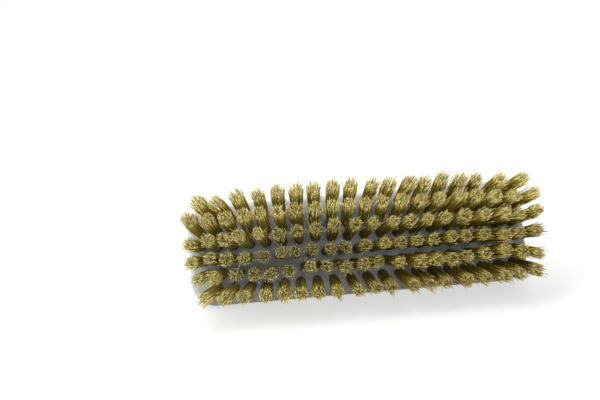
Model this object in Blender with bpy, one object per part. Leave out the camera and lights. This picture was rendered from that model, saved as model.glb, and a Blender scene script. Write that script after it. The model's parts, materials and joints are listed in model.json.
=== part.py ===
"""A shoe brush: a moulded grey plastic stock with a loop handle, and six rows of straw-coloured tufts.

The brush is modelled standing on its bristles. The bristle face is at z = 0, the stock is above it and the
bristles are below it; X runs along the brush and Y across it. At the end the whole brush is laid down as it
rests by itself, on one long edge of the block and one edge of the grip, with its bristles facing -Y and up.
"""
import math

import bmesh
import bpy
from mathutils import Matrix, Vector

MM = 0.001

# The block that the bristles are set in
BLOCK_LENGTH = 190 * MM
BLOCK_WIDTH = 57 * MM
BLOCK_THICKNESS = 12 * MM
BLOCK_CORNER_RADIUS = 14 * MM
BACK_EDGE_RADIUS = 4.5 * MM
FACE_EDGE_RADIUS = 3.5 * MM

# The loop handle, moulded in one piece with the block
HANDLE_LENGTH = 114 * MM
HANDLE_HEIGHT = 31 * MM
HANDLE_WIDTH = 17.5 * MM
BAR_THICKNESS = 6.2 * MM
LEG_THICKNESS = 7.2 * MM
HANDLE_CORNER_RADIUS = 11 * MM
HANDLE_EDGE_RADIUS = 2.8 * MM
FOOT_FLARE = 4.5 * MM
FOOT_DEPTH = 5 * MM

# The shallow pocket in the bristle face, and the strips that fill it; a narrow flat land borders the pocket
FACE_LAND = 0.6 * MM
POCKET_DEPTH = 2.4 * MM
FIT_GAP = 0.3 * MM
CUT_OVERRUN = 5 * MM

# The tufts, row by row from the side that points up when the brush lies down
END_MARGIN = 7.5 * MM
SIDE_MARGIN = 9.25 * MM
TUFT_DIAMETER = 4.6 * MM
TRIM_HEIGHT = 27 * MM
STRAND_SINK = 1.2 * MM
END_LEAN = math.radians(17)
SIDE_LEAN = math.radians(17.5)
BRISTLE_SET = math.radians(3)
TUFTS_IN_ROW = (18, 20, 20, 21, 20, 19)
LEFT_INSET_SHARES = (0.95, 0.1, 0.0, 0.05, 0.35, 1.0)
RIGHT_INSET_SHARES = (0.65, 0.15, 0.0, 0.05, 0.0, 0.2)

# Each tuft is drawn as four thick strands; the shares are of the tuft's diameter where it leaves the face
STRAND_SIDES = 4
ROOT_PLACE_SHARE = 0.22
ROOT_RADIUS_SHARE = 0.24
TIP_PLACE_SHARE = 0.52
TIP_RADIUS_SHARE = 0.22

# Smoothness of the round edges
CORNER_STEPS = 10
EDGE_STEPS = 5
BEND_STEPS = 10
FLARE_STEPS = 5

STOCK_GREY = (0.52, 0.54, 0.56, 1)
STRAW_YELLOW = (0.55, 0.43, 0.12, 1)


def clear_scene():
    for obj in list(bpy.data.objects):
        bpy.data.objects.remove(obj, do_unlink=True)


def new_collection(name):
    collection = bpy.data.collections.new(name)
    bpy.context.scene.collection.children.link(collection)
    return collection


def add_object(name, bm, collection):
    """Turn a bmesh into an object with outward faces."""
    bmesh.ops.recalc_face_normals(bm, faces=bm.faces)
    mesh = bpy.data.meshes.new(name)
    bm.to_mesh(mesh)
    bm.free()
    obj = bpy.data.objects.new(name, mesh)
    collection.objects.link(obj)
    return obj


def as_cutter(obj):
    obj.hide_render = True
    obj.display_type = "WIRE"
    return obj


def combine(obj, other, operation):
    modifier = obj.modifiers.new(operation.title() + " " + other.name, "BOOLEAN")
    modifier.operation = operation
    modifier.solver = "EXACT"
    modifier.object = other


def plastic(name, colour, roughness):
    material = bpy.data.materials.new(name)
    material.use_nodes = True
    shader = material.node_tree.nodes["Principled BSDF"]
    shader.inputs["Base Color"].default_value = colour
    shader.inputs["Roughness"].default_value = roughness
    shader.inputs["Metallic"].default_value = 0
    return material


def box(low, high):
    """A bmesh box between two corners."""
    bm = bmesh.new()
    size = Vector(high) - Vector(low)
    middle = (Vector(high) + Vector(low)) / 2
    bmesh.ops.create_cube(bm, size=1, matrix=Matrix.Translation(middle) @ Matrix.Diagonal((*size, 1)))
    return bm


def round_upright_edges(bm, radius):
    """Round the four edges that run along Z, which gives the outline its round corners."""
    upright = [e for e in bm.edges if abs((e.verts[0].co - e.verts[1].co).normalized().z) > math.sqrt(0.5)]
    bmesh.ops.bevel(bm, geom=upright, offset=radius, offset_type="OFFSET", segments=CORNER_STEPS,
                    profile=0.5, affect="EDGES")


def round_rim(bm, height, radius):
    """Round the rim edges that lie all at one height."""
    near = radius / CORNER_STEPS
    rim = [e for e in bm.edges if all(abs(v.co.z - height) < near for v in e.verts)]
    bmesh.ops.bevel(bm, geom=rim, offset=radius, offset_type="OFFSET", segments=EDGE_STEPS,
                    profile=0.5, affect="EDGES")


def pocket_inset():
    """How far the pocket's outline lies inside the block's: past the round edge and the flat land."""
    return FACE_EDGE_RADIUS + FACE_LAND


def plate(inset, low, high):
    """The block's outline drawn in by an inset, between two heights."""
    half_length = BLOCK_LENGTH / 2 - inset
    half_width = BLOCK_WIDTH / 2 - inset
    bm = box((-half_length, -half_width, low), (half_length, half_width, high))
    round_upright_edges(bm, BLOCK_CORNER_RADIUS - inset)
    return bm


def block(name, collection):
    bm = plate(0, 0, BLOCK_THICKNESS)
    round_rim(bm, BLOCK_THICKNESS, BACK_EDGE_RADIUS)
    round_rim(bm, 0, FACE_EDGE_RADIUS)
    return add_object(name, bm, collection)


def strap_section(width, thickness):
    """The handle's rounded rectangular section: (across, outward) pairs."""
    radius = HANDLE_EDGE_RADIUS
    points = []
    for quarter, (side, out) in enumerate(((1, 1), (-1, 1), (-1, -1), (1, -1))):
        centre = (side * (width / 2 - radius), out * (thickness / 2 - radius))
        for step in range(EDGE_STEPS + 1):
            angle = math.radians(90) * (quarter + step / EDGE_STEPS)
            points.append((centre[0] + radius * math.cos(angle), centre[1] + radius * math.sin(angle)))
    return points


def leg_stations():
    """Stations of one leg from inside the block to the top of its flared foot, as (z, spread) pairs.

    The spread is what a round fillet adds to each side of the leg at that height.
    """
    stations = [(BLOCK_THICKNESS - FOOT_DEPTH, FOOT_FLARE)]
    for step in range(FLARE_STEPS + 1):
        angle = math.radians(90) * (1 - step / FLARE_STEPS)
        stations.append((BLOCK_THICKNESS + FOOT_FLARE * (1 - math.sin(angle)),
                         FOOT_FLARE * (1 - math.cos(angle))))
    return stations


def handle_rings():
    """Sections along half the loop, from one foot to the middle of the bar."""
    leg_x = HANDLE_LENGTH / 2 - LEG_THICKNESS / 2
    bar_z = BLOCK_THICKNESS + HANDLE_HEIGHT - BAR_THICKNESS / 2
    bend = HANDLE_CORNER_RADIUS - BAR_THICKNESS / 2
    bend_centre = Vector((leg_x - bend, 0, bar_z - bend))
    rings = []

    def add_ring(middle, outward, width, thickness):
        section = strap_section(width, thickness)
        rings.append([middle + Vector((0, across, 0)) + outward * out for across, out in section])

    for z, spread in leg_stations():
        add_ring(Vector((leg_x, 0, z)), Vector((1, 0, 0)), HANDLE_WIDTH + 2 * spread,
                 LEG_THICKNESS + 2 * spread)
    for step in range(BEND_STEPS + 1):
        share = step / BEND_STEPS
        angle = math.radians(90) * share
        outward = Vector((math.cos(angle), 0, math.sin(angle)))
        add_ring(bend_centre + outward * bend, outward, HANDLE_WIDTH,
                 LEG_THICKNESS + (BAR_THICKNESS - LEG_THICKNESS) * share)
    return rings


def handle(name, collection):
    """The loop: sections lofted up one leg, along the bar and down the other leg."""
    right = handle_rings()
    left = [[Vector((-p.x, p.y, p.z)) for p in ring] for ring in reversed(right)]
    bm = bmesh.new()
    rings = [[bm.verts.new(p) for p in ring] for ring in right + left]
    for one, two in zip(rings, rings[1:]):
        for k in range(len(one)):
            n = (k + 1) % len(one)
            bm.faces.new((one[k], one[n], two[n], two[k]))
    bm.faces.new(rings[0])
    bm.faces.new(rings[-1])
    return add_object(name, bm, collection)


def stock(parts, cutters):
    """The whole moulding: block, loop handle, and the pocket that the bristle strips fill."""
    obj = block("stock", parts)
    combine(obj, as_cutter(handle("handle_shape", cutters)), "UNION")
    pocket = add_object("pocket_shape", plate(pocket_inset(), -CUT_OVERRUN, POCKET_DEPTH), cutters)
    combine(obj, as_cutter(pocket), "DIFFERENCE")
    obj.data.materials.append(plastic("grey_plastic", STOCK_GREY, 0.45))
    return obj


def row_places():
    """The rows' places across the face, from the side that ends up on top."""
    last = len(TUFTS_IN_ROW) - 1
    reach = BLOCK_WIDTH / 2 - SIDE_MARGIN
    return [reach * (2 * row / last - 1) for row in range(last + 1)]


def tuft_places(row):
    """The tufts' places along a row, spaced evenly between its two insets."""
    reach = BLOCK_LENGTH / 2 - END_MARGIN
    pitch = 2 * reach / (max(TUFTS_IN_ROW) - 1)
    start = -reach + LEFT_INSET_SHARES[row] * pitch
    end = reach - RIGHT_INSET_SHARES[row] * pitch
    last = TUFTS_IN_ROW[row] - 1
    return [start + (end - start) * k / last for k in range(last + 1)]


def tip_shift(x, y):
    """How far a tuft's tip lies outside its root.

    The lean grows in step with the distance from the middle, and use has set all the bristles a little
    towards +X.
    """
    end_share = x / (BLOCK_LENGTH / 2 - END_MARGIN)
    side_share = y / (BLOCK_WIDTH / 2 - SIDE_MARGIN)
    along = math.tan(END_LEAN) * end_share + math.tan(BRISTLE_SET)
    across = math.tan(SIDE_LEAN) * side_share
    return TRIM_HEIGHT * Vector((along, across, 0))


def add_strand(bm, root, tip, root_radius, tip_radius, turn):
    """A slanted, tapered strand of flat sides, cut level at the trim height."""
    down = (tip - root) / TRIM_HEIGHT
    top = root - down * STRAND_SINK
    rings = []
    for centre, radius in ((top, root_radius), (tip, tip_radius)):
        angles = [turn + math.radians(360) * k / STRAND_SIDES for k in range(STRAND_SIDES)]
        rings.append([bm.verts.new(centre + radius * Vector((math.cos(a), math.sin(a), 0))) for a in angles])
    upper, lower = rings
    for k in range(STRAND_SIDES):
        n = (k + 1) % STRAND_SIDES
        bm.faces.new((upper[k], upper[n], lower[n], lower[k]))
    bm.faces.new(upper)
    bm.faces.new(lower)


def row_strands(name, row, collection):
    """All strands of one row, four to a tuft, which spread apart from root to tip."""
    bm = bmesh.new()
    places = tuft_places(row)
    y = row_places()[row]
    for x in places:
        for side_x in (-1, 1):
            for side_y in (-1, 1):
                root = Vector((x + side_x * TUFT_DIAMETER * ROOT_PLACE_SHARE,
                               y + side_y * TUFT_DIAMETER * ROOT_PLACE_SHARE, 0))
                tip = Vector((x + side_x * TUFT_DIAMETER * TIP_PLACE_SHARE,
                              y + side_y * TUFT_DIAMETER * TIP_PLACE_SHARE, -TRIM_HEIGHT)) + tip_shift(x, y)
                add_strand(bm, root, tip, TUFT_DIAMETER * ROOT_RADIUS_SHARE, TUFT_DIAMETER * TIP_RADIUS_SHARE,
                           math.atan2(side_y, side_x))
    return as_cutter(add_object(name, bm, collection))


def bristle_row(row, parts, cutters):
    """One row of tufts on its strip of the bristle face, cut to the pocket's outline."""
    number = row + 1
    places = row_places()
    pitch = places[1] - places[0]
    outer = BLOCK_WIDTH / 2
    low = -outer if row == 0 else places[row] - pitch / 2 + FIT_GAP / 2
    high = outer if row == len(places) - 1 else places[row] + pitch / 2 - FIT_GAP / 2
    strip_top = POCKET_DEPTH - FIT_GAP
    bm = box((-BLOCK_LENGTH / 2, low, 0), (BLOCK_LENGTH / 2, high, strip_top))
    obj = add_object(f"bristle_row_{number}", bm, parts)
    outline = plate(pocket_inset() + FIT_GAP, -CUT_OVERRUN, BLOCK_THICKNESS)
    combine(obj, as_cutter(add_object(f"outline_{number}", outline, cutters)), "INTERSECT")
    combine(obj, row_strands(f"strands_{number}", row, cutters), "UNION")
    obj.data.materials.append(plastic(f"straw_bristle_{number}", STRAW_YELLOW, 0.5))
    return obj


def resting_turn():
    """The turn about X that lays the brush on its block's long edge and its grip's edge.

    Seen from the end, both edges are circles. The floor is the line that touches both, so its distance from
    each centre is that circle's radius.
    """
    block_edge = Vector((BLOCK_WIDTH / 2 - BACK_EDGE_RADIUS, BLOCK_THICKNESS - BACK_EDGE_RADIUS))
    grip_edge = Vector((HANDLE_WIDTH / 2 - HANDLE_EDGE_RADIUS,
                        BLOCK_THICKNESS + HANDLE_HEIGHT - HANDLE_EDGE_RADIUS))
    between = block_edge - grip_edge
    lean = math.atan2(between.y, between.x)
    floor_angle = lean + math.acos((HANDLE_EDGE_RADIUS - BACK_EDGE_RADIUS) / between.length)
    return -math.radians(90) - floor_angle


def lay_down(parts, cutters):
    """Turn the brush to its resting place, with its lowest point at z = 0 under the middle of its box."""
    pose = bpy.data.objects.new("resting_pose", None)
    parts.objects.link(pose)
    pose.rotation_euler = (resting_turn(), 0, 0)
    for obj in list(parts.objects) + list(cutters.objects):
        if obj is not pose:
            obj.parent = pose
    bpy.context.view_layer.update()
    depsgraph = bpy.context.evaluated_depsgraph_get()
    corners = []
    for obj in parts.objects:
        if obj.type == "MESH":
            mesh = obj.evaluated_get(depsgraph).data
            corners += [obj.matrix_world @ v.co for v in mesh.vertices]
    xs, ys, zs = zip(*corners)
    pose.location = (-(min(xs) + max(xs)) / 2, -(min(ys) + max(ys)) / 2, -min(zs))
    bpy.context.view_layer.update()


def main():
    clear_scene()
    parts = new_collection("shoe_brush")
    cutters = new_collection("cutters")
    stock(parts, cutters)
    for row in range(len(TUFTS_IN_ROW)):
        bristle_row(row, parts, cutters)
    lay_down(parts, cutters)


main()
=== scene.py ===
# %% [markdown]
# # A shoe brush with a loop handle, dressed for the camera
#
# The real brush is two kinds of piece. One is a grey plastic moulding: a flat block with a
# strap handle growing out of its back. The other is 118 tufts of stiff straw-yellow filament,
# each folded over a small wire anchor and driven into a drilled hole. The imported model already
# holds both at their real size, with a few thick strands for each tuft. This lesson replaces
# them with finer pieces in the same places: a stock with soft edges, drilled holes and mould
# lines, and tufts of some hundred and forty fine filaments each.

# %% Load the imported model
import json
import math

import bpy
import numpy as np
from mathutils import Matrix, Vector


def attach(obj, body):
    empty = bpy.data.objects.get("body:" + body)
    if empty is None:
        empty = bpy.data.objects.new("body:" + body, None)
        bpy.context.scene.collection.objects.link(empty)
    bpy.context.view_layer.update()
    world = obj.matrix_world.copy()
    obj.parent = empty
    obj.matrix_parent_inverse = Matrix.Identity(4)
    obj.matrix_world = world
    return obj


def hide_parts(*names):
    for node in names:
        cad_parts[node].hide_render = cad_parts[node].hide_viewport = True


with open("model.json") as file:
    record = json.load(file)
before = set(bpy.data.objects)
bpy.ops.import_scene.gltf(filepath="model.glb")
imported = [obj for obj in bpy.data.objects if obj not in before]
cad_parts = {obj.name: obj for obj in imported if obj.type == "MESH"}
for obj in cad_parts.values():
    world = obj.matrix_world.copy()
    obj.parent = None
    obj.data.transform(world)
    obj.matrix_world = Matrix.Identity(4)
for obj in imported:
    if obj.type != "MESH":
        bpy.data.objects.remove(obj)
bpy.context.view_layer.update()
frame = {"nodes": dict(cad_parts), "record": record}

MM = 0.001
print("packed nodes:", ", ".join(sorted(frame["nodes"])))

# %% [markdown]
# ## The brush's own directions
#
# The brush lies on its side, on one long edge of the block and one edge of the grip, so none of
# its faces is level. It is far easier to model it as if it stood on its bristles: x along the
# block, y across it, z out of its back, with the middle of the bristle face at zero. The packed
# record states a mount on the block's flat back. Its axis and its point give those directions
# back, so nothing has to be fitted by eye.

# %% From brush directions to the scene
BLOCK_THICKNESS = 12 * MM

block_back = next(m for m in frame["record"]["mounts"] if m["name"] == "block_back")
ALONG = np.array([1.0, 0.0, 0.0])
OUT_OF_BACK = np.array(block_back["axis"]) / np.linalg.norm(block_back["axis"])
ACROSS = np.cross(OUT_OF_BACK, ALONG)
BRUSH_AXES = np.stack([ALONG, ACROSS, OUT_OF_BACK])
FACE_MIDDLE = np.array(block_back["pos_m"]) - BLOCK_THICKNESS * OUT_OF_BACK


def lay_down(points):
    """Brush places to scene places: the face's middle plus x, y and z along their directions."""
    return FACE_MIDDLE + points @ BRUSH_AXES


bristle_tilt = math.degrees(math.asin(-OUT_OF_BACK[2]))
print(f"the bristle face looks {bristle_tilt:.1f} degrees upwards")

# %% [markdown]
# ## Meshes from arrays
#
# Every surface below is a grid of points, worked out with numpy in whole arrays. A grid of rows
# and columns turns into quads by pairing each point with its right, upper and upper-right
# neighbours. When the columns close on themselves the grid is a tube, and one flat face on each
# end closes it.

# %% Grid helpers


def tube_faces(rows, columns, tubes=1):
    """Quads between neighbouring rings of closed tubes, and one face on both ends of each tube."""
    index = np.arange(tubes * rows * columns).reshape(tubes, rows, columns)
    beside = np.roll(index, -1, axis=2)
    walls = np.stack([index[:, :-1], beside[:, :-1], beside[:, 1:], index[:, 1:]], axis=-1)
    ends = np.concatenate([index[:, 0, ::-1], index[:, -1]])
    return walls.reshape(-1, 4), ends


def new_piece(name, points, walls, ends):
    """A mesh object from brush places, laid down where the brush lies."""
    mesh = bpy.data.meshes.new(name)
    mesh.from_pydata(lay_down(points.reshape(-1, 3)), [], walls.tolist() + ends.tolist())
    mesh.shade_smooth()
    piece = bpy.data.objects.new(name, mesh)
    bpy.context.scene.collection.objects.link(piece)
    return piece


# %% [markdown]
# ## The block
#
# The block is a rounded rectangle with soft edges: a large radius on the back, where the hand
# is, and a smaller one round the bristle face. Its outline drawn inwards keeps the same corner
# centres, so the whole block is one formula. At each step of a profile, every outline point is
# its corner's centre plus its direction times what is left of the corner radius. A bead a tenth
# of a millimetre high shows where the two halves of the mould met.

# %% Block surface
BLOCK_LENGTH = 190 * MM
BLOCK_WIDTH = 57 * MM
BLOCK_CORNER_RADIUS = 14 * MM
BACK_EDGE_RADIUS = 4.5 * MM
FACE_EDGE_RADIUS = 3.5 * MM
FLAT_MARGIN = 0.5 * MM
CORNER_STEPS = 18
EDGE_STEPS = 12
BEAD_Z = 5.6 * MM
BEAD_WIDTH = 0.5 * MM
BEAD_HEIGHT = 0.12 * MM
BEAD_STEPS = 4


def quarter_arc(centre, radius, start, steps):
    """Points on a quarter circle: the centre plus the radius times cosine and sine of the angle."""
    angle = np.radians(start) + np.linspace(0, np.pi / 2, steps + 1)
    return centre + radius * np.stack([np.cos(angle), np.sin(angle)], axis=-1)


def bead_section():
    """Half a wave: height falls from the bead's middle to its sides as a cosine does."""
    share = np.linspace(-1, 1, 2 * BEAD_STEPS + 1)
    return share * BEAD_WIDTH / 2, BEAD_HEIGHT * (1 + np.cos(np.pi * share)) / 2


def block_profile():
    """(inset, z) pairs from the bristle face, round its edge, up the wall and over to the back."""
    face_centre = (FACE_EDGE_RADIUS, FACE_EDGE_RADIUS)
    face_edge = quarter_arc(face_centre, FACE_EDGE_RADIUS, 180, EDGE_STEPS)[::-1]
    back_centre = (BACK_EDGE_RADIUS, BLOCK_THICKNESS - BACK_EDGE_RADIUS)
    back_edge = quarter_arc(back_centre, BACK_EDGE_RADIUS, 90, EDGE_STEPS)[::-1]
    offset, height = bead_section()
    bead = np.stack([-height, BEAD_Z + offset], axis=-1)
    start = [[FACE_EDGE_RADIUS + FLAT_MARGIN, 0]]
    end = [[BACK_EDGE_RADIUS + FLAT_MARGIN, BLOCK_THICKNESS]]
    return np.concatenate([start, face_edge, bead, back_edge, end])


def block_points():
    """The profile carried round the outline: corner centre plus direction times radius left."""
    angle = np.linspace(0, np.pi / 2, CORNER_STEPS + 1)
    angle = (angle + np.arange(4)[:, None] * np.pi / 2).ravel()
    side = np.repeat([[1, 1], [-1, 1], [-1, -1], [1, -1]], CORNER_STEPS + 1, axis=0)
    centre = side * (np.array([BLOCK_LENGTH, BLOCK_WIDTH]) / 2 - BLOCK_CORNER_RADIUS)
    direction = np.stack([np.cos(angle), np.sin(angle)], axis=-1)
    inset, z = block_profile().T
    reach = (BLOCK_CORNER_RADIUS - inset)[:, None, None]
    plan = centre + reach * direction
    height = np.broadcast_to(z[:, None, None], plan[..., :1].shape)
    return np.concatenate([plan, height], axis=-1)


grid = block_points()
stock = new_piece("stock_moulding", grid, *tube_faces(*grid.shape[:2]))
print(f"block: {grid.shape[0]} profile points by {grid.shape[1]} outline points")

# %% [markdown]
# ## The loop handle
#
# The handle is a strap about 17 mm wide. It rises from a flared foot, bends over, runs along the
# block and comes down to the other foot. Each section is a rounded rectangle, set square to the
# strap's path. Near the block the section grows by a quarter-round fillet, so it meets the back
# without a step. The grip's outer face has a slight crown, which a moulded bar has from
# shrinking as it cools.

# %% Handle surface
HANDLE_LENGTH = 114 * MM
HANDLE_HEIGHT = 31 * MM
HANDLE_WIDTH = 17.5 * MM
BAR_THICKNESS = 6.2 * MM
LEG_THICKNESS = 7.2 * MM
HANDLE_CORNER_RADIUS = 11 * MM
HANDLE_EDGE_RADIUS = 2.8 * MM
FOOT_FLARE = 4.5 * MM
FOOT_DEPTH = 5 * MM
GRIP_CROWN = 0.25 * MM
FLARE_STEPS = 10
BEND_STEPS = 18
BAR_STEPS = 24
SIDE_STEPS = 8


def half_handle_stations():
    """Stations up one leg and half the bar.

    Each is a row of x, z, outward x, outward z, spread, thickness and crown.
    """
    leg_x = HANDLE_LENGTH / 2 - LEG_THICKNESS / 2
    bar_z = BLOCK_THICKNESS + HANDLE_HEIGHT - BAR_THICKNESS / 2
    bend = HANDLE_CORNER_RADIUS - BAR_THICKNESS / 2
    fall = np.linspace(np.pi / 2, 0, FLARE_STEPS + 1)
    fillet_z = BLOCK_THICKNESS + FOOT_FLARE * (1 - np.sin(fall))
    foot_z = np.concatenate([[BLOCK_THICKNESS - FOOT_DEPTH], fillet_z])
    spread = np.concatenate([[FOOT_FLARE], FOOT_FLARE * (1 - np.cos(fall))])
    none = np.zeros_like(foot_z)
    foot = np.stack([none + leg_x, foot_z, none + 1, none,
                     spread, none + LEG_THICKNESS, none], axis=-1)
    share = np.linspace(0, 1, BEND_STEPS + 1)
    turn = share * np.pi / 2
    across, up = np.cos(turn), np.sin(turn)
    thickness = LEG_THICKNESS + (BAR_THICKNESS - LEG_THICKNESS) * share
    corner = np.stack([leg_x - bend + bend * across, bar_z - bend + bend * up, across, up,
                       0 * share, thickness, GRIP_CROWN * share], axis=-1)
    bar_x = np.linspace(leg_x - bend, 0, BAR_STEPS // 2 + 1)[1:]
    none = np.zeros_like(bar_x)
    bar = np.stack([bar_x, none + bar_z, none, none + 1,
                    none, none + BAR_THICKNESS, none + GRIP_CROWN], axis=-1)
    return np.concatenate([foot, corner, bar])


def strap_section(width, thickness, crown):
    """A rounded rectangle of (across, outward) points for each width; the crown swells its top."""
    flat_width = width / 2 - HANDLE_EDGE_RADIUS
    flat_depth = thickness / 2 - HANDLE_EDGE_RADIUS
    parts = []
    for side, out, start in ((1, 1, 0), (-1, 1, 90), (-1, -1, 180), (1, -1, 270)):
        middle = np.stack([side * flat_width, out * flat_depth], axis=-1)
        curve = quarter_arc((0, 0), HANDLE_EDGE_RADIUS, start, EDGE_STEPS)
        parts.append(middle[:, None, :] + curve)
        if side == out == 1:
            share = np.linspace(1, -1, SIDE_STEPS + 1)[1:-1]
            across = share * flat_width[:, None]
            swell = thickness[:, None] / 2 + crown[:, None] * (1 - share ** 2)
            parts.append(np.stack([across, swell], axis=-1))
    return np.concatenate(parts, axis=1)


def handle_points():
    """Each station's middle, plus its section laid along y and the station's outward direction."""
    half = half_handle_stations()
    other = half[-2::-1] * np.array([-1, 1, -1, 1, 1, 1, 1])
    x, z, out_x, out_z, spread, thickness, crown = np.concatenate([half, other]).T
    section = strap_section(HANDLE_WIDTH + 2 * spread, thickness + 2 * spread, crown)
    across, outward = section[..., 0], section[..., 1]
    x = x[:, None] + outward * out_x[:, None]
    z = z[:, None] + outward * out_z[:, None]
    return np.stack([x, across, z], axis=-1)


grid = handle_points()
handle = new_piece("handle_shape", grid, *tube_faces(*grid.shape[:2]))
print(f"handle: {grid.shape[0]} stations of {grid.shape[1]} points")

# %% [markdown]
# ## The mould line over the ends
#
# The finger opening is shaped by two side cores that meet in the middle of the brush. Where they
# met, a fine bead of plastic climbs each end wall and runs along the back to the handle's foot.
# It is a thin tube whose path follows the block's own profile.

# %% Mould line beads
BEAD_SUNK = 0.3 * MM
BEAD_SIDES = 12


def end_bead_points(side):
    """Points of an oval tube that runs just under the block's skin, from the wall to the foot."""
    edge_x = BLOCK_LENGTH / 2 - BACK_EDGE_RADIUS
    edge_z = BLOCK_THICKNESS - BACK_EDGE_RADIUS
    foot_x = HANDLE_LENGTH / 2 + FOOT_FLARE / 2
    edge = quarter_arc((edge_x, edge_z), BACK_EDGE_RADIUS, 0, EDGE_STEPS)
    path = np.concatenate([[[BLOCK_LENGTH / 2, BEAD_Z]], edge, [[foot_x, BLOCK_THICKNESS]]])
    outward = np.concatenate([[[1, 0]], quarter_arc((0, 0), 1, 0, EDGE_STEPS), [[0, 1]]])
    turn = np.linspace(0, 2 * np.pi, BEAD_SIDES, endpoint=False)
    across = BEAD_WIDTH / 2 * np.cos(turn)
    lift = (BEAD_HEIGHT + BEAD_SUNK) * np.sin(turn) - BEAD_SUNK
    x = path[:, :1] + outward[:, :1] * lift
    z = path[:, 1:] + outward[:, 1:] * lift
    return np.stack([side * x, np.broadcast_to(across, x.shape), z], axis=-1)


beads = []
for side in (1, -1):
    grid = end_bead_points(side)
    beads.append(new_piece(f"end_bead_{side}", grid, *tube_faces(*grid.shape[:2])))

# %% [markdown]
# ## Where the tufts stand
#
# Six rows of holes cross the face. A row's tufts are evenly spaced between its two ends, and the
# rows start at slightly different places, as a drilling machine's rows do. The holes fan
# outwards: a tuft leans by an amount that grows in step with its distance from the middle, up to
# 17 degrees at the ends and 17.5 at the sides. Use has also set all the bristles 3 degrees
# towards one end.

# %% Tuft places and leans
END_MARGIN = 7.5 * MM
SIDE_MARGIN = 9.25 * MM
TRIM_HEIGHT = 27 * MM
END_LEAN = math.radians(17)
SIDE_LEAN = math.radians(17.5)
BRISTLE_SET = math.radians(3)
TUFTS_IN_ROW = (18, 20, 20, 21, 20, 19)
LEFT_INSET_SHARES = (0.95, 0.1, 0.0, 0.05, 0.35, 1.0)
RIGHT_INSET_SHARES = (0.65, 0.15, 0.0, 0.05, 0.0, 0.2)
REACH = np.array([BLOCK_LENGTH / 2 - END_MARGIN, BLOCK_WIDTH / 2 - SIDE_MARGIN])


def tuft_places(row):
    """Where a row's tufts stand on the face: (x, y) pairs, evenly spaced between its insets."""
    count = TUFTS_IN_ROW[row]
    pitch = 2 * REACH[0] / (max(TUFTS_IN_ROW) - 1)
    left = -REACH[0] + LEFT_INSET_SHARES[row] * pitch
    right = REACH[0] - RIGHT_INSET_SHARES[row] * pitch
    x = np.linspace(left, right, count)
    y = REACH[1] * (2 * row / (len(TUFTS_IN_ROW) - 1) - 1)
    return np.stack([x, np.full(count, y)], axis=-1)


def leans(places):
    """Sideways travel for each metre of height: the lean's tangent times the share of the reach."""
    tangent = np.array([math.tan(END_LEAN), math.tan(SIDE_LEAN)])
    return places / REACH * tangent + np.array([math.tan(BRISTLE_SET), 0])


ROWS = range(len(TUFTS_IN_ROW))
all_places = np.concatenate([tuft_places(row) for row in ROWS])
print(f"{len(all_places)} tufts")

# %% [markdown]
# No tuft of a used brush stands quite as it was drilled. These two tables say how far use has
# moved each tuft's tip along and across the block, in millimetres, to the nearest half. Row by
# row, they were judged from how the worn brush stands.

# %% How use has bent the tufts
BENT_ALONG = (
    (-1, -1.5, 0, 1.5, 2, 2, 1, 1.5, 1, 2.5, 1.5, 2.5, 0.5, -0.5, -0.5, -3, 0, 2),
    (1.5, 1.5, 2, 2.5, 0.5, 1, 0, 2, 1.5, 0.5, -0.5, -1.5, -0.5, 0, 0.5, 2.5, 1, 1, 1.5, 2.5),
    (2.5, 2.5, 1, -1.5, -0.5, 0.5, 1, 1, 1, 3, 3, 4, 3, 2.5, 1.5, 2.5, 3.5, 4.5, 2, 1.5),
    (2, 3, 2.5, 2.5, 3.5, 4, 1.5, 1.5, 2, 1, 2.5, 3.5, 2.5, 2, 1.5, 2, -0.5, 0.5, 2, 0.5, 0.5),
    (2.5, 0.5, 3.5, 3.5, 2.5, 2.5, 4.5, 3.5, 4, 4, 1.5, 3.5, 5.5, 4.5, 2, 0.5, 0.5, 1.5, 1, -1),
    (-1.5, -0.5, 0, 2, 2, 1, 0.5, 1, 2.5, 2.5, 0, 3, 1.5, 0, 1.5, 1.5, 2, 0, -0.5),
)
BENT_ACROSS = (
    (1.5, 3, 0, 0, -1, -1.5, -1, -1.5, -1, -0.5, 0, 0, 1, 0, 1.5, 2, 3.5, 4),
    (-1, 1, 0.5, 0, -1, -0.5, -1, -0.5, -1.5, -1.5, -1, -1.5, -1, 0, -0.5, -1.5, -0.5, 1.5, 2, 1.5),
    (3, 1, 1, 0, -0.5, 1, 0, -0.5, -1.5, -1, -1, -1, -0.5, -0.5, -0.5, -0.5, 0, 0, 1, 0),
    (2, 0, 1.5, 2, 1.5, 0, 0.5, 0, 0.5, 0.5, 0, 0, 0, 0, 0, -0.5, -0.5, -0.5, 1.5, 0.5, 0),
    (0.5, 0, -1, 0, 1, -0.5, -2, -1, 0.5, -0.5, -1, 0, 1, 0.5, 1, 0, -0.5, -1.5, 0.5, 2),
    (0.5, 1.5, 1.5, 1.5, 2, 2, 2.5, 3, 3, 2.5, 3, 3.5, 3.5, 3, 3, 2.5, 2, 1.5, 0),
)


def bends(row):
    """How far use has moved the row's tips, along and across the block."""
    return np.stack([BENT_ALONG[row], BENT_ACROSS[row]], axis=-1) * MM


print("largest bend:", max(np.abs(bends(row)).max() for row in ROWS) / MM, "mm")

# %% [markdown]
# ## Drilled holes
#
# Each tuft goes into a hole drilled along its lean, a little wider than the tuft, with a slightly
# broken rim. The cutters are one mesh of many small tubes. They are sheared rather than turned,
# so every ring stays level with the face: a ring's middle is the tuft's place plus its lean times
# the height.

# %% Cut the holes
HOLE_RADIUS = 2.6 * MM
HOLE_RIM = 0.3 * MM
HOLE_DEPTH = 7 * MM
CUTTER_OVERRUN = 1 * MM
HOLE_SIDES = 20


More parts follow.
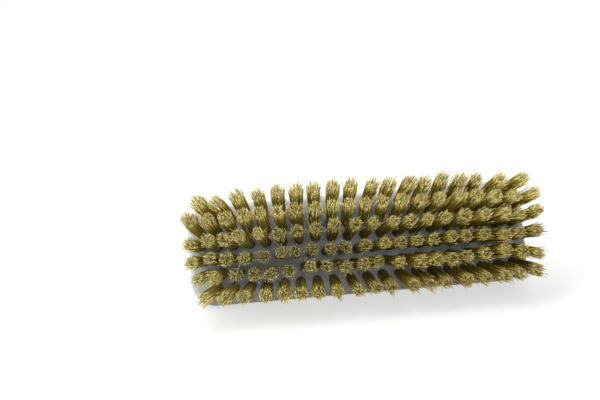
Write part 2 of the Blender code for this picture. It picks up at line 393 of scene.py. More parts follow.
def hole_points(places):
    """Rings of each hole's cutter, from outside the face to the hole's bottom."""
    z = np.array([-CUTTER_OVERRUN, 0, HOLE_RIM, HOLE_DEPTH])
    rim_radius = HOLE_RADIUS + HOLE_RIM
    radius = np.array([rim_radius + CUTTER_OVERRUN, rim_radius, HOLE_RADIUS, HOLE_RADIUS])
    turn = np.linspace(0, 2 * np.pi, HOLE_SIDES, endpoint=False)
    middle = places[:, None, :] - leans(places)[:, None, :] * z[:, None]
    ring = radius[:, None, None] * np.stack([np.cos(turn), np.sin(turn)], axis=-1)
    plan = middle[:, :, None, :] + ring
    height = np.broadcast_to(z[None, :, None, None], plan[..., :1].shape)
    return np.concatenate([plan, height], axis=-1)


def combine(piece, other, operation):
    """Join another mesh to a piece, or cut it away, and keep the result as the piece's mesh."""
    modifier = piece.modifiers.new(operation.title(), "BOOLEAN")
    modifier.operation = operation
    modifier.solver = "EXACT"
    modifier.object = other
    shape = piece.evaluated_get(bpy.context.evaluated_depsgraph_get())
    mesh = bpy.data.meshes.new_from_object(shape)
    piece.modifiers.clear()
    piece.data = mesh
    bpy.data.objects.remove(other)


grid = hole_points(all_places)
holes = new_piece("hole_shapes", grid, *tube_faces(*grid.shape[1:3], tubes=len(all_places)))
combine(stock, handle, "UNION")
for bead in beads:
    combine(stock, bead, "UNION")
combine(stock, holes, "DIFFERENCE")
print(f"stock: {len(stock.data.vertices)} points after joining and drilling")

# %% [markdown]
# Smooth shading averages the normals where faces meet, which would smear the big flat faces at
# every hole and fillet. Edges sharper than 35 degrees stay sharp. On the rest, a Weighted Normal
# modifier lets the large faces decide, so flats shade flat and only the rounded edges turn.

# %% Shade the stock and put it in the brush
SHARP_ANGLE = math.radians(35)

stock.data.shade_smooth()
stock.data.set_sharp_from_angle(angle=SHARP_ANGLE)
weighted = stock.modifiers.new("Flats stay flat", "WEIGHTED_NORMAL")
weighted.mode = "FACE_AREA"
weighted.keep_sharp = True
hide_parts("stock")
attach(stock, "root")

# %% [markdown]
# ## The filaments
#
# A tuft is some hundred and forty filaments, each a third of a millimetre thick. They stand
# close together in the hole and spread towards the tips. Use has rounded the tuft's end to a
# dome, worn its middle hollow and broken some filaments short, and many now stray from the rest.
# The tables below say how this changes from the left end of the brush to the right, and from
# the top row to the bottom one: the left end is spread widest, the right half strays most, and
# the top row has stayed the neatest. Spreads and domes are in millimetres, the rest are shares.
#
# All filaments of a row are worked out at once. A filament's middle line starts at its root and
# follows the tuft's lean and bend. To that come its own share of the tuft's spread times a power
# of the height, which makes it bow, its stray part, which grows faster than the height, and a
# small wave for crimp. A filament has only 26 faces, as there are seventeen thousand of them.
#
# In the names below a scatter is how far chance values spread about their mean, and a range gives
# the two ends of an even chance. A limit cuts off the rare large values, so no tip strays far.

# %% Filament shapes
SEED = 31
GOLDEN_ANGLE = math.pi * (3 - math.sqrt(5))
FILAMENTS = 144
FILAMENT_RADIUS = 0.175 * MM
RADIUS_RANGE = (0.85, 1.15)
TAPER = (1.05, 0.8)
FILAMENT_SIDES = 4
FILAMENT_RINGS = 7

WEAR_PLACES = (-1, -0.5, 0, 1)
TIP_SPREADS = (4.9, 4.4, 4.0, 4.3)
TIP_DOMES = (1.6, 1.4, 1.2, 1.6)
FRAYS = (0.5, 0.7, 0.9, 0.9)
ROW_SPREADS = (0.98, 0.93, 0.85, 0.8, 0.83, 0.92)
ROW_FRAYS = (0.55, 0.8, 1.0, 1.0, 1.0, 0.85)

ROOT_DEPTH = 2.5 * MM
ROOT_SPREAD = 2.5 * MM
ROOT_SCATTER = 0.08 * MM
SPREAD_SCATTER = 0.06
TWIST_SCATTER = 0.2
CLUMPS = 26
CLUMP_REACH = 0.9
CLUMPING = 0.38
FLARE_SCATTER = 0.35 * MM
STRAY_SHARE = 0.38
STRAY_SCATTER = 1.7 * MM
STRAY_LIMIT = 2.0 * MM

WORN_OFF = 1.1 * MM
TUFT_SCATTER = 0.25 * MM
TIP_SCATTER = 0.75 * MM
TIP_LIMIT = 1.1 * MM
HOLLOW = 3.5 * MM
HOLLOW_AREA = 0.4
HOLLOW_RANGE = (0.2, 1.4)
SHORT_SHARE = 0.15
SHORT_RANGE = (1 * MM, 4 * MM)

BOW_POWER = 0.55
FLARE_POWER = 1.7
BEND_POWER = 1.3
CRIMP = 0.1 * MM
CRIMP_WAVES = (0.8, 1.8)


def disc_places(count):
    """Places spread evenly in a unit disc.

    The radius is the root of the share, and each place turns on by the golden angle.
    """
    k = np.arange(count)
    radius = np.sqrt((k + 0.5) / count)
    return np.stack([radius * np.cos(k * GOLDEN_ANGLE), radius * np.sin(k * GOLDEN_ANGLE)], axis=-1)


def turned(plan, angle):
    """Plan vectors turned by an angle about the upright."""
    x, y = plan[..., 0], plan[..., 1]
    cosine, sine = np.cos(angle), np.sin(angle)
    return np.stack([x * cosine - y * sine, x * sine + y * cosine], axis=-1)


def clumped(places, fray):
    """Disc places drawn to the nearest of a few clump middles, more so where a tuft is frayed."""
    middles = disc_places(CLUMPS) * CLUMP_REACH
    nearest = np.linalg.norm(places[:, None] - middles, axis=-1).argmin(axis=1)
    return places + CLUMPING * fray[..., None] * (middles[nearest] - places)


def filament_lines(row):
    """Middle lines of a row's filaments, as an array of filaments by rings by three."""
    rng = np.random.default_rng(SEED + row)
    places = tuft_places(row)
    tufts = len(places)
    each = (tufts, FILAMENTS)
    place = places[:, :1] / REACH[0]
    tables = (FRAYS, TIP_SPREADS, TIP_DOMES)
    fray, spread, domed = (np.interp(place, WEAR_PLACES, values) for values in tables)
    fray = fray * ROW_FRAYS[row]
    uneven = rng.normal(1, SPREAD_SCATTER, (tufts, 1, 1))
    spread = spread[..., None] * MM * ROW_SPREADS[row] * uneven
    tuft_turn = rng.uniform(0, 2 * np.pi, (tufts, 1))
    disc = disc_places(FILAMENTS)[None]
    root = turned(disc, tuft_turn) * ROOT_SPREAD + rng.normal(0, ROOT_SCATTER, (*each, 2))
    tip = turned(clumped(disc[0], fray), tuft_turn + rng.normal(0, TWIST_SCATTER, each)) * spread

    flare = fray[..., None] * rng.normal(0, FLARE_SCATTER, (*each, 2))
    stray = rng.random((*each, 1)) < STRAY_SHARE * fray[..., None]
    strayed = np.clip(rng.normal(0, STRAY_SCATTER, (*each, 2)), -STRAY_LIMIT, STRAY_LIMIT)
    flare = flare + stray * strayed

    area = (disc ** 2).sum(axis=-1)
    dome = domed * MM * (area - 0.5)
    height = TRIM_HEIGHT - WORN_OFF + rng.normal(0, TUFT_SCATTER, (tufts, 1)) - dome
    height = height + fray * np.clip(rng.normal(0, TIP_SCATTER, each), -TIP_LIMIT, TIP_LIMIT)
    middle = np.clip(1 - area / HOLLOW_AREA, 0, 1)
    height = height - HOLLOW * middle * fray * rng.uniform(*HOLLOW_RANGE, (tufts, 1))
    short = rng.random(each) < SHORT_SHARE
    height = height - short * rng.uniform(*SHORT_RANGE, each)

    share = np.linspace(0, 1, FILAMENT_RINGS)
    z = ROOT_DEPTH - share * (height[..., None] + ROOT_DEPTH)
    below = -z[..., None]
    rise = np.clip(below / TRIM_HEIGHT, 0, None)
    wave = rng.uniform(0, 2 * np.pi, (*each, 1, 2))
    pace = rng.uniform(*CRIMP_WAVES, (*each, 1, 1)) * 2 * np.pi
    crimp = CRIMP * rise * np.sin(pace * rise + wave)
    bend = bends(row)[:, None, None, :] * rise ** BEND_POWER
    lean = leans(places)[:, None, None, :] * below + bend
    bow = (tip - root)[:, :, None, :] * rise ** BOW_POWER
    flare = flare[:, :, None, :] * rise ** FLARE_POWER
    plan = places[:, None, None, :] + root[:, :, None, :] + lean + bow + flare + crimp
    return np.concatenate([plan, z[..., None]], axis=-1).reshape(-1, FILAMENT_RINGS, 3)


def around(lines, radius):
    """Rings square to each line: the tangent crossed with y gives one side, and again the other."""
    tangent = np.gradient(lines, axis=1)
    tangent /= np.linalg.norm(tangent, axis=-1, keepdims=True)
    one = np.cross(tangent, [0.0, 1.0, 0.0])
    one /= np.linalg.norm(one, axis=-1, keepdims=True)
    two = np.cross(tangent, one)
    turn = np.linspace(0, 2 * np.pi, FILAMENT_SIDES, endpoint=False)[:, None]
    ring = np.cos(turn) * one[..., None, :] + np.sin(turn) * two[..., None, :]
    return lines[:, :, None, :] + radius[:, :, None, None] * ring


def tuft_row(row):
    """All tufts of one row as one piece.

    Its UV map holds a number for each filament and the share of the filament's own length.
    """
    lines = filament_lines(row)
    count = len(lines)
    rng = np.random.default_rng(SEED * (row + 2))
    taper = np.linspace(*TAPER, FILAMENT_RINGS)
    radius = FILAMENT_RADIUS * taper * rng.uniform(*RADIUS_RANGE, (count, 1))
    points = around(lines, radius)
    faces = tube_faces(FILAMENT_RINGS, FILAMENT_SIDES, tubes=count)
    piece = new_piece(f"tufts_row_{row + 1}", points, *faces)
    number = np.broadcast_to(rng.random((count, 1, 1)), points.shape[:3])
    share = np.broadcast_to(np.linspace(0, 1, FILAMENT_RINGS)[:, None], points.shape[:3])
    uv = np.stack([number, share], axis=-1).reshape(-1, 2)
    corner = np.empty(len(piece.data.loops), dtype=np.int32)
    piece.data.loops.foreach_get("vertex_index", corner)
    layer = piece.data.uv_layers.new(name="Filament")
    layer.data.foreach_set("uv", uv[corner].ravel().astype(np.float32))
    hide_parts(f"bristle_row_{row + 1}")
    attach(piece, "root")
    return piece


rows = [tuft_row(row) for row in ROWS]
print("filaments:", sum(TUFTS_IN_ROW) * FILAMENTS)

# %% [markdown]
# ## Material building blocks
#
# Both finishes need the same few effects, so each effect is a shader node group with its own
# sockets. All of them work in brush places measured in millimetres, which a Mapping node makes
# from the Object coordinates. A pattern then keeps its direction along the block, however the
# brush lies.

# %% Node helpers
NODE_TYPES = {"math": "ShaderNodeMath", "vector": "ShaderNodeVectorMath",
              "noise": "ShaderNodeTexNoise", "ramp": "ShaderNodeValToRGB",
              "range": "ShaderNodeMapRange", "mix": "ShaderNodeMix",
              "split": "ShaderNodeSeparateXYZ", "bump": "ShaderNodeBump",
              "mapping": "ShaderNodeMapping"}


def feed(tree, socket, value):
    """Link an input to another node's output, or set it to a plain value."""
    if isinstance(value, bpy.types.NodeSocket):
        tree.links.new(value, socket)
    else:
        socket.default_value = value


def new_node(tree, kind, inputs=None, **settings):
    """A node with its settings, and with its inputs fed by name or number."""
    made = tree.nodes.new(NODE_TYPES.get(kind, kind))
    for key, value in settings.items():
        setattr(made, key, value)
    for key, value in (inputs or {}).items():
        feed(tree, made.inputs[key], value)
    return made


def calculate(tree, operation, one, two=0.0):
    return new_node(tree, "math", {0: one, 1: two}, operation=operation).outputs[0]


def noise(tree, vector, scale, detail=3.0, roughness=0.55):
    inputs = {"Vector": vector, "Scale": scale, "Detail": detail, "Roughness": roughness}
    return new_node(tree, "noise", inputs).outputs[0]


def between(tree, value, low, high, to_low=0.0, to_high=1.0):
    """A smooth step: to_low below low, to_high above high, and an S curve between."""
    inputs = {"Value": value, 1: low, 2: high, 3: to_low, 4: to_high}
    return new_node(tree, "range", inputs, interpolation_type="SMOOTHSTEP").outputs[0]


def stretched(tree, vector, scale):
    return new_node(tree, "vector", {0: vector, 1: scale}, operation="MULTIPLY").outputs[0]


def mixed(tree, factor, one, two):
    """Two colours mixed by a factor."""
    made = new_node(tree, "mix", data_type="RGBA")
    sockets = {s.identifier: s for s in made.inputs}
    for key, value in (("Factor_Float", factor), ("A_Color", one), ("B_Color", two)):
        feed(tree, sockets[key], value)
    return next(s for s in made.outputs if s.identifier == "Result_Color")


def ramp(tree, factor, stops):
    """A colour ramp through (place, colour) stops."""
    made = new_node(tree, "ramp", {0: factor})
    elements = made.color_ramp.elements
    while len(elements) < len(stops):
        elements.new(1.0)
    for element, (place, colour) in zip(elements, stops):
        element.position = place
        element.color = (*colour, 1)
    return made.outputs[0]


def new_group(name, inputs, outputs):
    """An empty node group with named sockets, and the sockets of its input and output nodes."""
    group = bpy.data.node_groups.new(name, "ShaderNodeTree")
    for label, kind, value in inputs:
        group.interface.new_socket(label, in_out="INPUT", socket_type=kind).default_value = value
    for label, kind in outputs:
        group.interface.new_socket(label, in_out="OUTPUT", socket_type=kind)
    start, end = group.nodes.new("NodeGroupInput"), group.nodes.new("NodeGroupOutput")
    return group, start.outputs, end.inputs


def use_group(tree, group, **inputs):
    """A placed group with its sockets fed by name; gives back its outputs."""
    made = tree.nodes.new("ShaderNodeGroup")
    made.node_tree = group
    for key, value in inputs.items():
        feed(tree, made.inputs[key], value)
    return made.outputs


FLOAT, VECTOR = "NodeSocketFloat", "NodeSocketVector"
PLACE = ("Place", VECTOR, (0, 0, 0))

# %% [markdown]
# The first group turns Object coordinates into brush places. The Mapping node scales metres to
# millimetres, turns them into the brush's directions, and moves the face's middle to zero.

# %% Brush places group
TO_MM = 1 / MM

group, _, end = new_group("brush places", [], [("Place", VECTOR)])
coordinates = group.nodes.new("ShaderNodeTexCoord")
axes = Matrix(BRUSH_AXES.tolist())
mapping = new_node(group, "mapping", {"Vector": coordinates.outputs["Object"]})
mapping.inputs["Scale"].default_value = (TO_MM, TO_MM, TO_MM)
mapping.inputs["Rotation"].default_value = axes.to_euler("XYZ")
mapping.inputs["Location"].default_value = -(axes @ Vector(FACE_MIDDLE)) * TO_MM
group.links.new(mapping.outputs[0], end["Place"])
BRUSH_PLACES = group

# %% [markdown]
# Moulded plastic is never quite even. The grain group gives two heights in one: broad sink
# marks some centimetres across, and the fine texture of the mould.

# %% Grain group
SINK_SCALE = 0.055

inputs = [PLACE, ("Size", FLOAT, 0.6), ("Sink", FLOAT, 0.5)]
group, start, end = new_group("grain", inputs, [("Height", FLOAT)])
fine = noise(group, start["Place"], calculate(group, "DIVIDE", 1.0, start["Size"]), 2.0)
broad = noise(group, start["Place"], SINK_SCALE, 1.0)
broad = calculate(group, "MULTIPLY", broad, start["Sink"])
group.links.new(calculate(group, "ADD", fine, broad), end["Height"])
GRAIN = group

# %% [markdown]
# Rubbing leaves pale, thin marks. Noise stretched far along one direction makes streaks, and only
# its highest values count, which leaves separate scratches. Three directions are laid over each
# other, most of them along the block, where hands and shelves rub it.

# %% Scratches group
SCRATCH_TURNS = ((0.0, (0.035, 1.6, 1.6)), (0.5, (0.06, 2.1, 2.1)), (-0.9, (0.09, 2.6, 2.6)))
SCRATCH_PEAKS = (0.63, 0.72)
PATCH_SCALE = 0.05
PATCH_PEAKS = (0.42, 0.66)

group, start, end = new_group("scratches", [PLACE, ("Amount", FLOAT, 0.5)], [("Mask", FLOAT)])
total = 0.0
for turn, scale in SCRATCH_TURNS:
    inputs = {"Vector": start["Place"], "Rotation": (turn / 3, 0, turn)}
    aimed = new_node(group, "mapping", inputs).outputs[0]
    streak = noise(group, stretched(group, aimed, scale), 1.0, 2.0, 0.6)
    total = calculate(group, "ADD", total, between(group, streak, *SCRATCH_PEAKS))
patches = between(group, noise(group, start["Place"], PATCH_SCALE, 2.0), *PATCH_PEAKS)
total = calculate(group, "MULTIPLY", calculate(group, "MULTIPLY", total, patches), start["Amount"])
group.links.new(calculate(group, "MINIMUM", total, 1.0), end["Mask"])
SCRATCHES = group

# %% [markdown]
# Edges rub most. On a flat side of the block the normal lies along one of the brush's three
# directions, and on a rounded edge it lies between them. So one less the largest of the three
# shares is zero on flats and greatest in the middle of an edge.

# %% Edge wear group
EDGE_ROUNDNESS = (0.03, 0.25)
RUB_SCALE = 0.3
RUB_PEAKS = (0.5, 0.72)

group, start, end = new_group("edge wear", [PLACE, ("Amount", FLOAT, 0.5)], [("Mask", FLOAT)])
coordinates = group.nodes.new("ShaderNodeTexCoord")
largest = 0.0
for axis in BRUSH_AXES:
    inputs = {0: coordinates.outputs["Normal"], 1: tuple(axis)}
    part = new_node(group, "vector", inputs, operation="DOT_PRODUCT").outputs["Value"]
    largest = calculate(group, "MAXIMUM", largest, calculate(group, "ABSOLUTE", part))
roundness = between(group, calculate(group, "SUBTRACT", 1.0, largest), *EDGE_ROUNDNESS)
rubbed = between(group, noise(group, start["Place"], RUB_SCALE, 4.0), *RUB_PEAKS)
mask = calculate(group, "MULTIPLY", roundness, rubbed)
mask = calculate(group, "MULTIPLY", mask, start["Amount"])
group.links.new(mask, end["Mask"])
EDGE_WEAR = group

# %% [markdown]
# Dust and old polish gather in clouds. This group serves both finishes: on the plastic it greys
# the colour, and on the bristles it dulls some of the tufts.

# %% Dust group
CLOUD_PEAKS = (0.45, 0.75)

inputs = [PLACE, ("Size", FLOAT, 14.0), ("Amount", FLOAT, 0.5)]
group, start, end = new_group("dust", inputs, [("Mask", FLOAT)])
clouds = noise(group, start["Place"], calculate(group, "DIVIDE", 1.0, start["Size"]), 4.0, 0.65)
mask = calculate(group, "MULTIPLY", between(group, clouds, *CLOUD_PEAKS), start["Amount"])
group.links.new(mask, end["Mask"])
DUST = group

# %% [markdown]
# The tufts shade the bristle face between the rows, more towards the right end, and the block's
# lower edge is in shade too. This group paints that shade, with a little dirt, into the colour.
# The mask is high where z is low, so it stays on the face. Near the lower edge, where y is large,
# it is allowed to climb. The second value says how deep the painted shade is, which is most at
# the right end and at that edge. The pairs for X, Y and Z are places in millimetres, between
# which a value grows or fades.

# %% Painted shade and grime group
SHADE_AND_GRIME_FADES_Z = (0.5, 2.5)
SHADE_AND_GRIME_CLIMBS_Y = (22.0, 28.0)
SHADE_AND_GRIME_CLIMB = 8.0
SHADE_AND_GRIME_STARTS_Y = (-26.0, -19.0)
SHADE_AND_GRIME_GROWS_X = (-40.0, 35.0)
SHADE_AND_GRIME_AT_LEFT = 0.15
SHADE_AND_GRIME_GROWS_Y = (23.0, 27.0)
SHADE_AND_GRIME_AT_EDGE = 0.9
SHADE_AND_GRIME_PATCHES = (0.3, 0.7, 0.6, 0.95)
SHADE_AND_GRIME_SCALE = 0.09
DEEPENS_X = (0.0, 70.0)
DEEPENS_Y = (24.0, 27.0)

group, start, end = new_group("shade_and_grime", [PLACE], [("Mask", FLOAT), ("Depth", FLOAT)])
x, y, z = new_node(group, "split", {0: start["Place"]}).outputs
climb = between(group, y, *SHADE_AND_GRIME_CLIMBS_Y, 0.0, SHADE_AND_GRIME_CLIMB)
mask = between(group, calculate(group, "SUBTRACT", z, climb), *SHADE_AND_GRIME_FADES_Z, 1.0, 0.0)
mask = calculate(group, "MULTIPLY", mask, between(group, y, *SHADE_AND_GRIME_STARTS_Y))
to_the_right = between(group, x, *SHADE_AND_GRIME_GROWS_X, SHADE_AND_GRIME_AT_LEFT)
to_the_edge = between(group, y, *SHADE_AND_GRIME_GROWS_Y, 0.0, SHADE_AND_GRIME_AT_EDGE)
mask = calculate(group, "MULTIPLY", mask, calculate(group, "MAXIMUM", to_the_right, to_the_edge))
patchy = between(group, noise(group, start["Place"], SHADE_AND_GRIME_SCALE, 4.0), *SHADE_AND_GRIME_PATCHES)
group.links.new(calculate(group, "MULTIPLY", mask, patchy), end["Mask"])
depth = calculate(group, "MAXIMUM", between(group, x, *DEEPENS_X), between(group, y, *DEEPENS_Y))
group.links.new(depth, end["Depth"])
SHADE_AND_GRIME = group

# %% [markdown]
# ## Grey plastic
#
# The moulding is a light neutral grey with a hint of blue and a satin skin. Faint streaks run
# along the block, left by the plastic's flow in the mould. Dust is a warm grey. Painted shade
# with a little dirt, nearly black, darkens the face between the tufts and the lower edge. Some
# scratches are dark scuffs, and others, like the worn edges, are paler and rougher than the
# skin. The scuffs use the scratches group again, moved to another part of the noise.

# %% Plastic finish
PLASTIC_GREY = (0.43, 0.445, 0.47, 1)
PLASTIC_LIGHT = (0.51, 0.52, 0.535, 1)
PLASTIC_WORN = (0.66, 0.665, 0.67, 1)
PLASTIC_DUST = (0.30, 0.29, 0.27, 1)
PLASTIC_SCUFF = (0.15, 0.145, 0.14, 1)
# Painted shade with a little dirt, for the face between the tufts and the block's lower edge.
FACE_SHADE_AND_GRIME = (0.18, 0.165, 0.15, 1)
DEEP_SHADE_AND_GRIME = (0.09, 0.08, 0.07, 1)
FLOW_STRETCH = (0.02, 0.35, 0.35)
FLOW_STREAKS = (0.35, 0.68)
SCUFF_SHIFT = (300.0, 40.0, 7.0)
SATIN_SCALE = 0.12
SATIN_ROUGHNESS = (0.28, 0.42)
RUBBED_ROUGHER = 0.15
SCRATCH_DEPTH = 0.5


def new_material(name):
    material = bpy.data.materials.new(name)
    material.use_nodes = True
    tree = material.node_tree
    shader = tree.nodes["Principled BSDF"]
    return material, tree, shader


def grey_plastic():
    material, tree, shader = new_material("grey_plastic")
    place = use_group(tree, BRUSH_PLACES)["Place"]
    flow = noise(tree, stretched(tree, place, FLOW_STRETCH), 1.0, 4.0, 0.6)
    colour = mixed(tree, between(tree, flow, *FLOW_STREAKS), PLASTIC_GREY, PLASTIC_LIGHT)
    dust = use_group(tree, DUST, Place=place, Size=18.0, Amount=0.28)["Mask"]
    colour = mixed(tree, dust, colour, PLASTIC_DUST)
    # Painted shade, with a little dirt, darkens the face between the tufts and the lower edge.
    shade_and_grime = use_group(tree, SHADE_AND_GRIME, Place=place)
    shade_and_dirt = mixed(tree, shade_and_grime["Depth"], FACE_SHADE_AND_GRIME, DEEP_SHADE_AND_GRIME)
    colour = mixed(tree, shade_and_grime["Mask"], colour, shade_and_dirt)
    elsewhere = new_node(tree, "vector", {0: place, 1: SCUFF_SHIFT}, operation="ADD").outputs[0]
    scuff = use_group(tree, SCRATCHES, Place=elsewhere, Amount=0.45)["Mask"]
    colour = mixed(tree, scuff, colour, PLASTIC_SCUFF)
    wear = use_group(tree, EDGE_WEAR, Place=place, Amount=0.5)["Mask"]
    scratch = use_group(tree, SCRATCHES, Place=place, Amount=0.5)["Mask"]
    rubbed = calculate(tree, "MAXIMUM", wear, scratch)
    colour = mixed(tree, rubbed, colour, PLASTIC_WORN)
    tree.links.new(colour, shader.inputs["Base Color"])
    roughness = between(tree, noise(tree, place, SATIN_SCALE), 0.3, 0.7, *SATIN_ROUGHNESS)
    rougher = calculate(tree, "MULTIPLY", rubbed, RUBBED_ROUGHER)
    roughness = calculate(tree, "ADD", roughness, rougher)
    tree.links.new(roughness, shader.inputs["Roughness"])
    height = use_group(tree, GRAIN, Place=place, Size=0.7, Sink=6.0)["Height"]
    cut = calculate(tree, "MULTIPLY", scratch, SCRATCH_DEPTH)
    height = calculate(tree, "SUBTRACT", height, cut)
    bump = new_node(tree, "bump", {"Height": height, "Strength": 0.25, "Distance": 0.05 * MM})
    tree.links.new(bump.outputs[0], shader.inputs["Normal"])
    return material


def finish(piece, material):
    piece.data.materials.clear()
    piece.data.materials.append(material)


finish(stock, grey_plastic())

# %% [markdown]
# ## Straw-yellow filament
#
# Seen closely a bristle is golden along its length and pale where it was cut. Those ends are what
# makes a tuft look grainy from the front. The second UV value, the share of the filament's own
# length, drives a colour ramp whose last stop is that pale end. The first value is a different
# number on each filament. It picks between a straw and an amber ramp, and it sets how bright the
# filament is, most of all at its tip, so a tuft reads as many filaments and not as one cone.
#
# A paler ramp takes over at the left end and in the upper rows: painted light where the lamps from
# the left and above fall and the tufts shade each other less, and partly bleaching by light and
# use.
# Thin filaments also let some light through, and a little subsurface scattering stands for that.

# %% Filament finish
# The first stops, at the roots, are lighter than the middle of the filament: painted light that
# lifts the shade deep between the rows.
PALE_STOPS = ((0.0, (0.70, 0.585, 0.16)), (0.5, (0.69, 0.57, 0.145)), (0.93, (0.64, 0.525, 0.12)),
              (1.0, (0.92, 0.84, 0.39)))
STRAW_STOPS = ((0.0, (0.52, 0.41, 0.07)), (0.5, (0.41, 0.315, 0.04)), (0.93, (0.37, 0.28, 0.033)),
               (1.0, (0.71, 0.60, 0.23)))
AMBER_STOPS = ((0.0, (0.40, 0.31, 0.045)), (0.5, (0.31, 0.235, 0.025)), (0.93, (0.27, 0.20, 0.019)),
               (1.0, (0.55, 0.46, 0.155)))
BRISTLE_DUST = (0.36, 0.33, 0.24, 1)
# Painted light, with some bleaching: where the paler ramp takes over, at the left end and upper
# rows.
LIT_AND_BLEACHED_X = (-85.0, 12.0)
LIT_AND_BLEACHED_Y = (-15.0, 2.0)
LIT_AND_BLEACHED_ROWS = 0.75
TIP_VARIETY = (0.7, 1.0, 0.4, 1.2)
BRISTLE_TONE = 0.97
BRISTLE_ROUGHNESS = 0.3
BRISTLE_ROUGHER = 0.2


def straw_bristle():
    material, tree, shader = new_material("straw_bristle")
    place = use_group(tree, BRUSH_PLACES)["Place"]
    uv = new_node(tree, "ShaderNodeUVMap", uv_map="Filament")
    split = new_node(tree, "split", {0: uv.outputs[0]})
    number, share = split.outputs[0], split.outputs[1]
    random = new_node(tree, "ShaderNodeTexWhiteNoise", {"W": number}, noise_dimensions="1D")
    straw = ramp(tree, share, STRAW_STOPS)
    amber = ramp(tree, share, AMBER_STOPS)
    colour = mixed(tree, random.outputs["Value"], straw, amber)
    x, y, _ = new_node(tree, "split", {0: place}).outputs
    # Painted light with some bleaching: the paler ramp at the left end and in the upper rows.
    lit_and_bleached = calculate(tree, "MAXIMUM", between(tree, x, *LIT_AND_BLEACHED_X, 1.0, 0.0),
                         between(tree, y, *LIT_AND_BLEACHED_Y, LIT_AND_BLEACHED_ROWS, 0.0))
    colour = mixed(tree, lit_and_bleached, colour, ramp(tree, share, PALE_STOPS))
    split = new_node(tree, "split", {0: random.outputs["Color"]})
    variety = between(tree, share, *TIP_VARIETY)
    tone = calculate(tree, "MULTIPLY", calculate(tree, "SUBTRACT", split.outputs[1], 0.5), variety)
    tone = calculate(tree, "ADD", tone, BRISTLE_TONE)
    colour = new_node(tree, "vector", {0: colour, "Scale": tone}, operation="SCALE").outputs[0]
    dust = use_group(tree, DUST, Place=place, Size=9.0, Amount=0.35)["Mask"]
    colour = mixed(tree, dust, colour, BRISTLE_DUST)
    tree.links.new(colour, shader.inputs["Base Color"])
    rougher = calculate(tree, "MULTIPLY", split.outputs[2], BRISTLE_ROUGHER)
    roughness = calculate(tree, "ADD", rougher, BRISTLE_ROUGHNESS)
    tree.links.new(roughness, shader.inputs["Roughness"])
    shader.inputs["Specular IOR Level"].default_value = 0.3
    shader.inputs["Subsurface Weight"].default_value = 0.4
    shader.inputs["Subsurface Radius"].default_value = (1.0, 0.8, 0.3)
    shader.inputs["Subsurface Scale"].default_value = 0.3 * MM
    grain = use_group(tree, GRAIN, Place=place, Size=0.35, Sink=0.0)["Height"]
    bump = new_node(tree, "bump", {"Height": grain, "Strength": 0.2, "Distance": 0.03 * MM})
    tree.links.new(bump.outputs[0], shader.inputs["Normal"])
    return material


bristle_finish = straw_bristle()
for piece in rows:
    finish(piece, bristle_finish)

# %% [markdown]
# ## Floor, light and camera
#
# The photograph is a cut-out on white. A pale floor keeps the brush's shadow near the brush and
# fades to plain white further out. It does so only for the rays that the camera sees, so the
# white throws no extra light.

# %% Floor
FLOOR_HALF = 2.0
FADE_START = 0.16
FADE_END = 0.42
SHADOW_LIFT = 0.6
FLOOR_COLOUR = (0.92, 0.92, 0.92, 1)


def seen_rays(tree):
    """One for rays that the camera sees, by way of gloss or glass too, and zero for others."""
    path = tree.nodes.new("ShaderNodeLightPath")
    seen = calculate(tree, "MAXIMUM", path.outputs["Is Camera Ray"], path.outputs["Is Glossy Ray"])
    return calculate(tree, "MAXIMUM", seen, path.outputs["Is Transmission Ray"])


def floor_material():
    material, tree, shader = new_material("paper_floor")
    shader.inputs["Base Color"].default_value = FLOOR_COLOUR
    shader.inputs["Roughness"].default_value = 0.9
    shader.inputs["Specular IOR Level"].default_value = 0.0
    coordinates = tree.nodes.new("ShaderNodeTexCoord")
    length = new_node(tree, "vector", {0: coordinates.outputs["Object"]}, operation="LENGTH")
    fade = between(tree, length.outputs["Value"], FADE_START, FADE_END, SHADOW_LIFT)
    fade = calculate(tree, "MULTIPLY", fade, seen_rays(tree))
    white = new_node(tree, "ShaderNodeEmission", {"Color": (1, 1, 1, 1), "Strength": 1.0})
    inputs = {0: fade, 1: shader.outputs[0], 2: white.outputs[0]}
    mix = new_node(tree, "ShaderNodeMixShader", inputs)
    tree.links.new(mix.outputs[0], tree.nodes["Material Output"].inputs["Surface"])
    return material


corner = np.array([[-1, -1, 0], [1, -1, 0], [1, 1, 0], [-1, 1, 0]]) * FLOOR_HALF
mesh = bpy.data.meshes.new("floor")
mesh.from_pydata(corner, [], [(0, 1, 2, 3)])
floor = bpy.data.objects.new("floor", mesh)
bpy.context.scene.collection.objects.link(floor)
finish(floor, floor_material())

# %% [markdown]
# Four soft lamps stand round the brush. The strongest is a wide one at the left, like a window.
# A smaller one above gives the shadows their direction, one above and behind lights the upper
# rows, and one at the front right keeps the lower rows from going dark. The world is white where
# the camera sees it and a third as strong as a light, which fills in the rest.

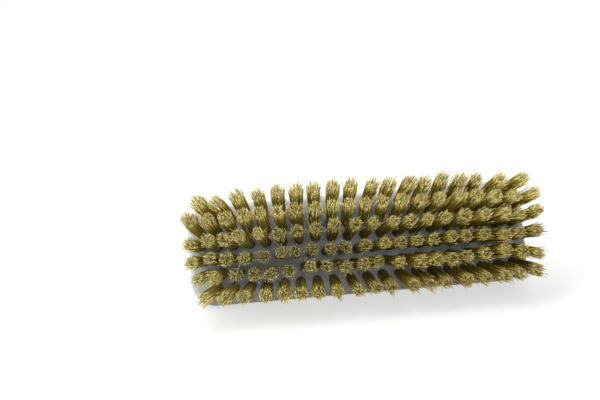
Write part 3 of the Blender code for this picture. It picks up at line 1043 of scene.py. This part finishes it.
# %% World and lamps
WORLD_FILL = 0.34
LAMP_AIM = (0, 0, 0.03)
LAMPS = (
    ("key_above_left", (-0.4, -0.1, 0.9), 0.45, 4),
    ("left_window", (-0.9, 0.0, 0.4), 0.9, 6),
    ("top_behind", (0.0, 0.45, 0.8), 0.8, 4.5),
    ("front_right", (0.5, -0.7, 0.42), 0.9, 4),
)


def white_world():
    world = bpy.data.worlds.new("white_room")
    bpy.context.scene.world = world
    world.use_nodes = True
    tree = world.node_tree
    extra = calculate(tree, "MULTIPLY", seen_rays(tree), 1 - WORLD_FILL)
    strength = calculate(tree, "ADD", extra, WORLD_FILL)
    background = tree.nodes["Background"]
    background.inputs["Color"].default_value = (1, 1, 1, 1)
    tree.links.new(strength, background.inputs["Strength"])


def soft_lamp(name, place, size, power):
    """A square area lamp that looks at the brush."""
    data = bpy.data.lights.new(name, "AREA")
    data.shape = "SQUARE"
    data.size = size
    data.energy = power
    lamp = bpy.data.objects.new(name, data)
    bpy.context.scene.collection.objects.link(lamp)
    lamp.location = place
    lamp.rotation_euler = (Vector(LAMP_AIM) - Vector(place)).to_track_quat("-Z", "Y").to_euler()


white_world()
for lamp in LAMPS:
    soft_lamp(*lamp)

# %% [markdown]
# The camera stands in front of the brush, about 21 degrees above it, and is rolled a little, so
# the block rises to the right. It doesn't look at the brush's middle: in the photograph the brush
# lies right of and below the middle of the frame.

# %% Camera
CAMERA_AIM = Vector((-31.2, 9.1, 53.2)) * MM
CAMERA_DISTANCE = 564 * MM
CAMERA_ELEVATION = math.radians(21.2)
CAMERA_AZIMUTH = math.radians(-0.4)
CAMERA_ROLL = math.radians(-4.8)
CAMERA_LENS = 60

data = bpy.data.cameras.new("photo_camera")
data.lens = CAMERA_LENS
data.sensor_width = 36
data.clip_start = 0.01
camera = bpy.data.objects.new("photo_camera", data)
bpy.context.scene.collection.objects.link(camera)
look = Matrix.Rotation(CAMERA_AZIMUTH, 4, "Z")
look = look @ Matrix.Rotation(math.pi / 2 - CAMERA_ELEVATION, 4, "X")
look = look @ Matrix.Rotation(CAMERA_ROLL, 4, "Z")
step_back = Matrix.Translation((0, 0, CAMERA_DISTANCE))
camera.matrix_world = Matrix.Translation(CAMERA_AIM) @ look @ step_back
bpy.context.scene.camera = camera

bpy.context.scene.view_settings.view_transform = "Standard"
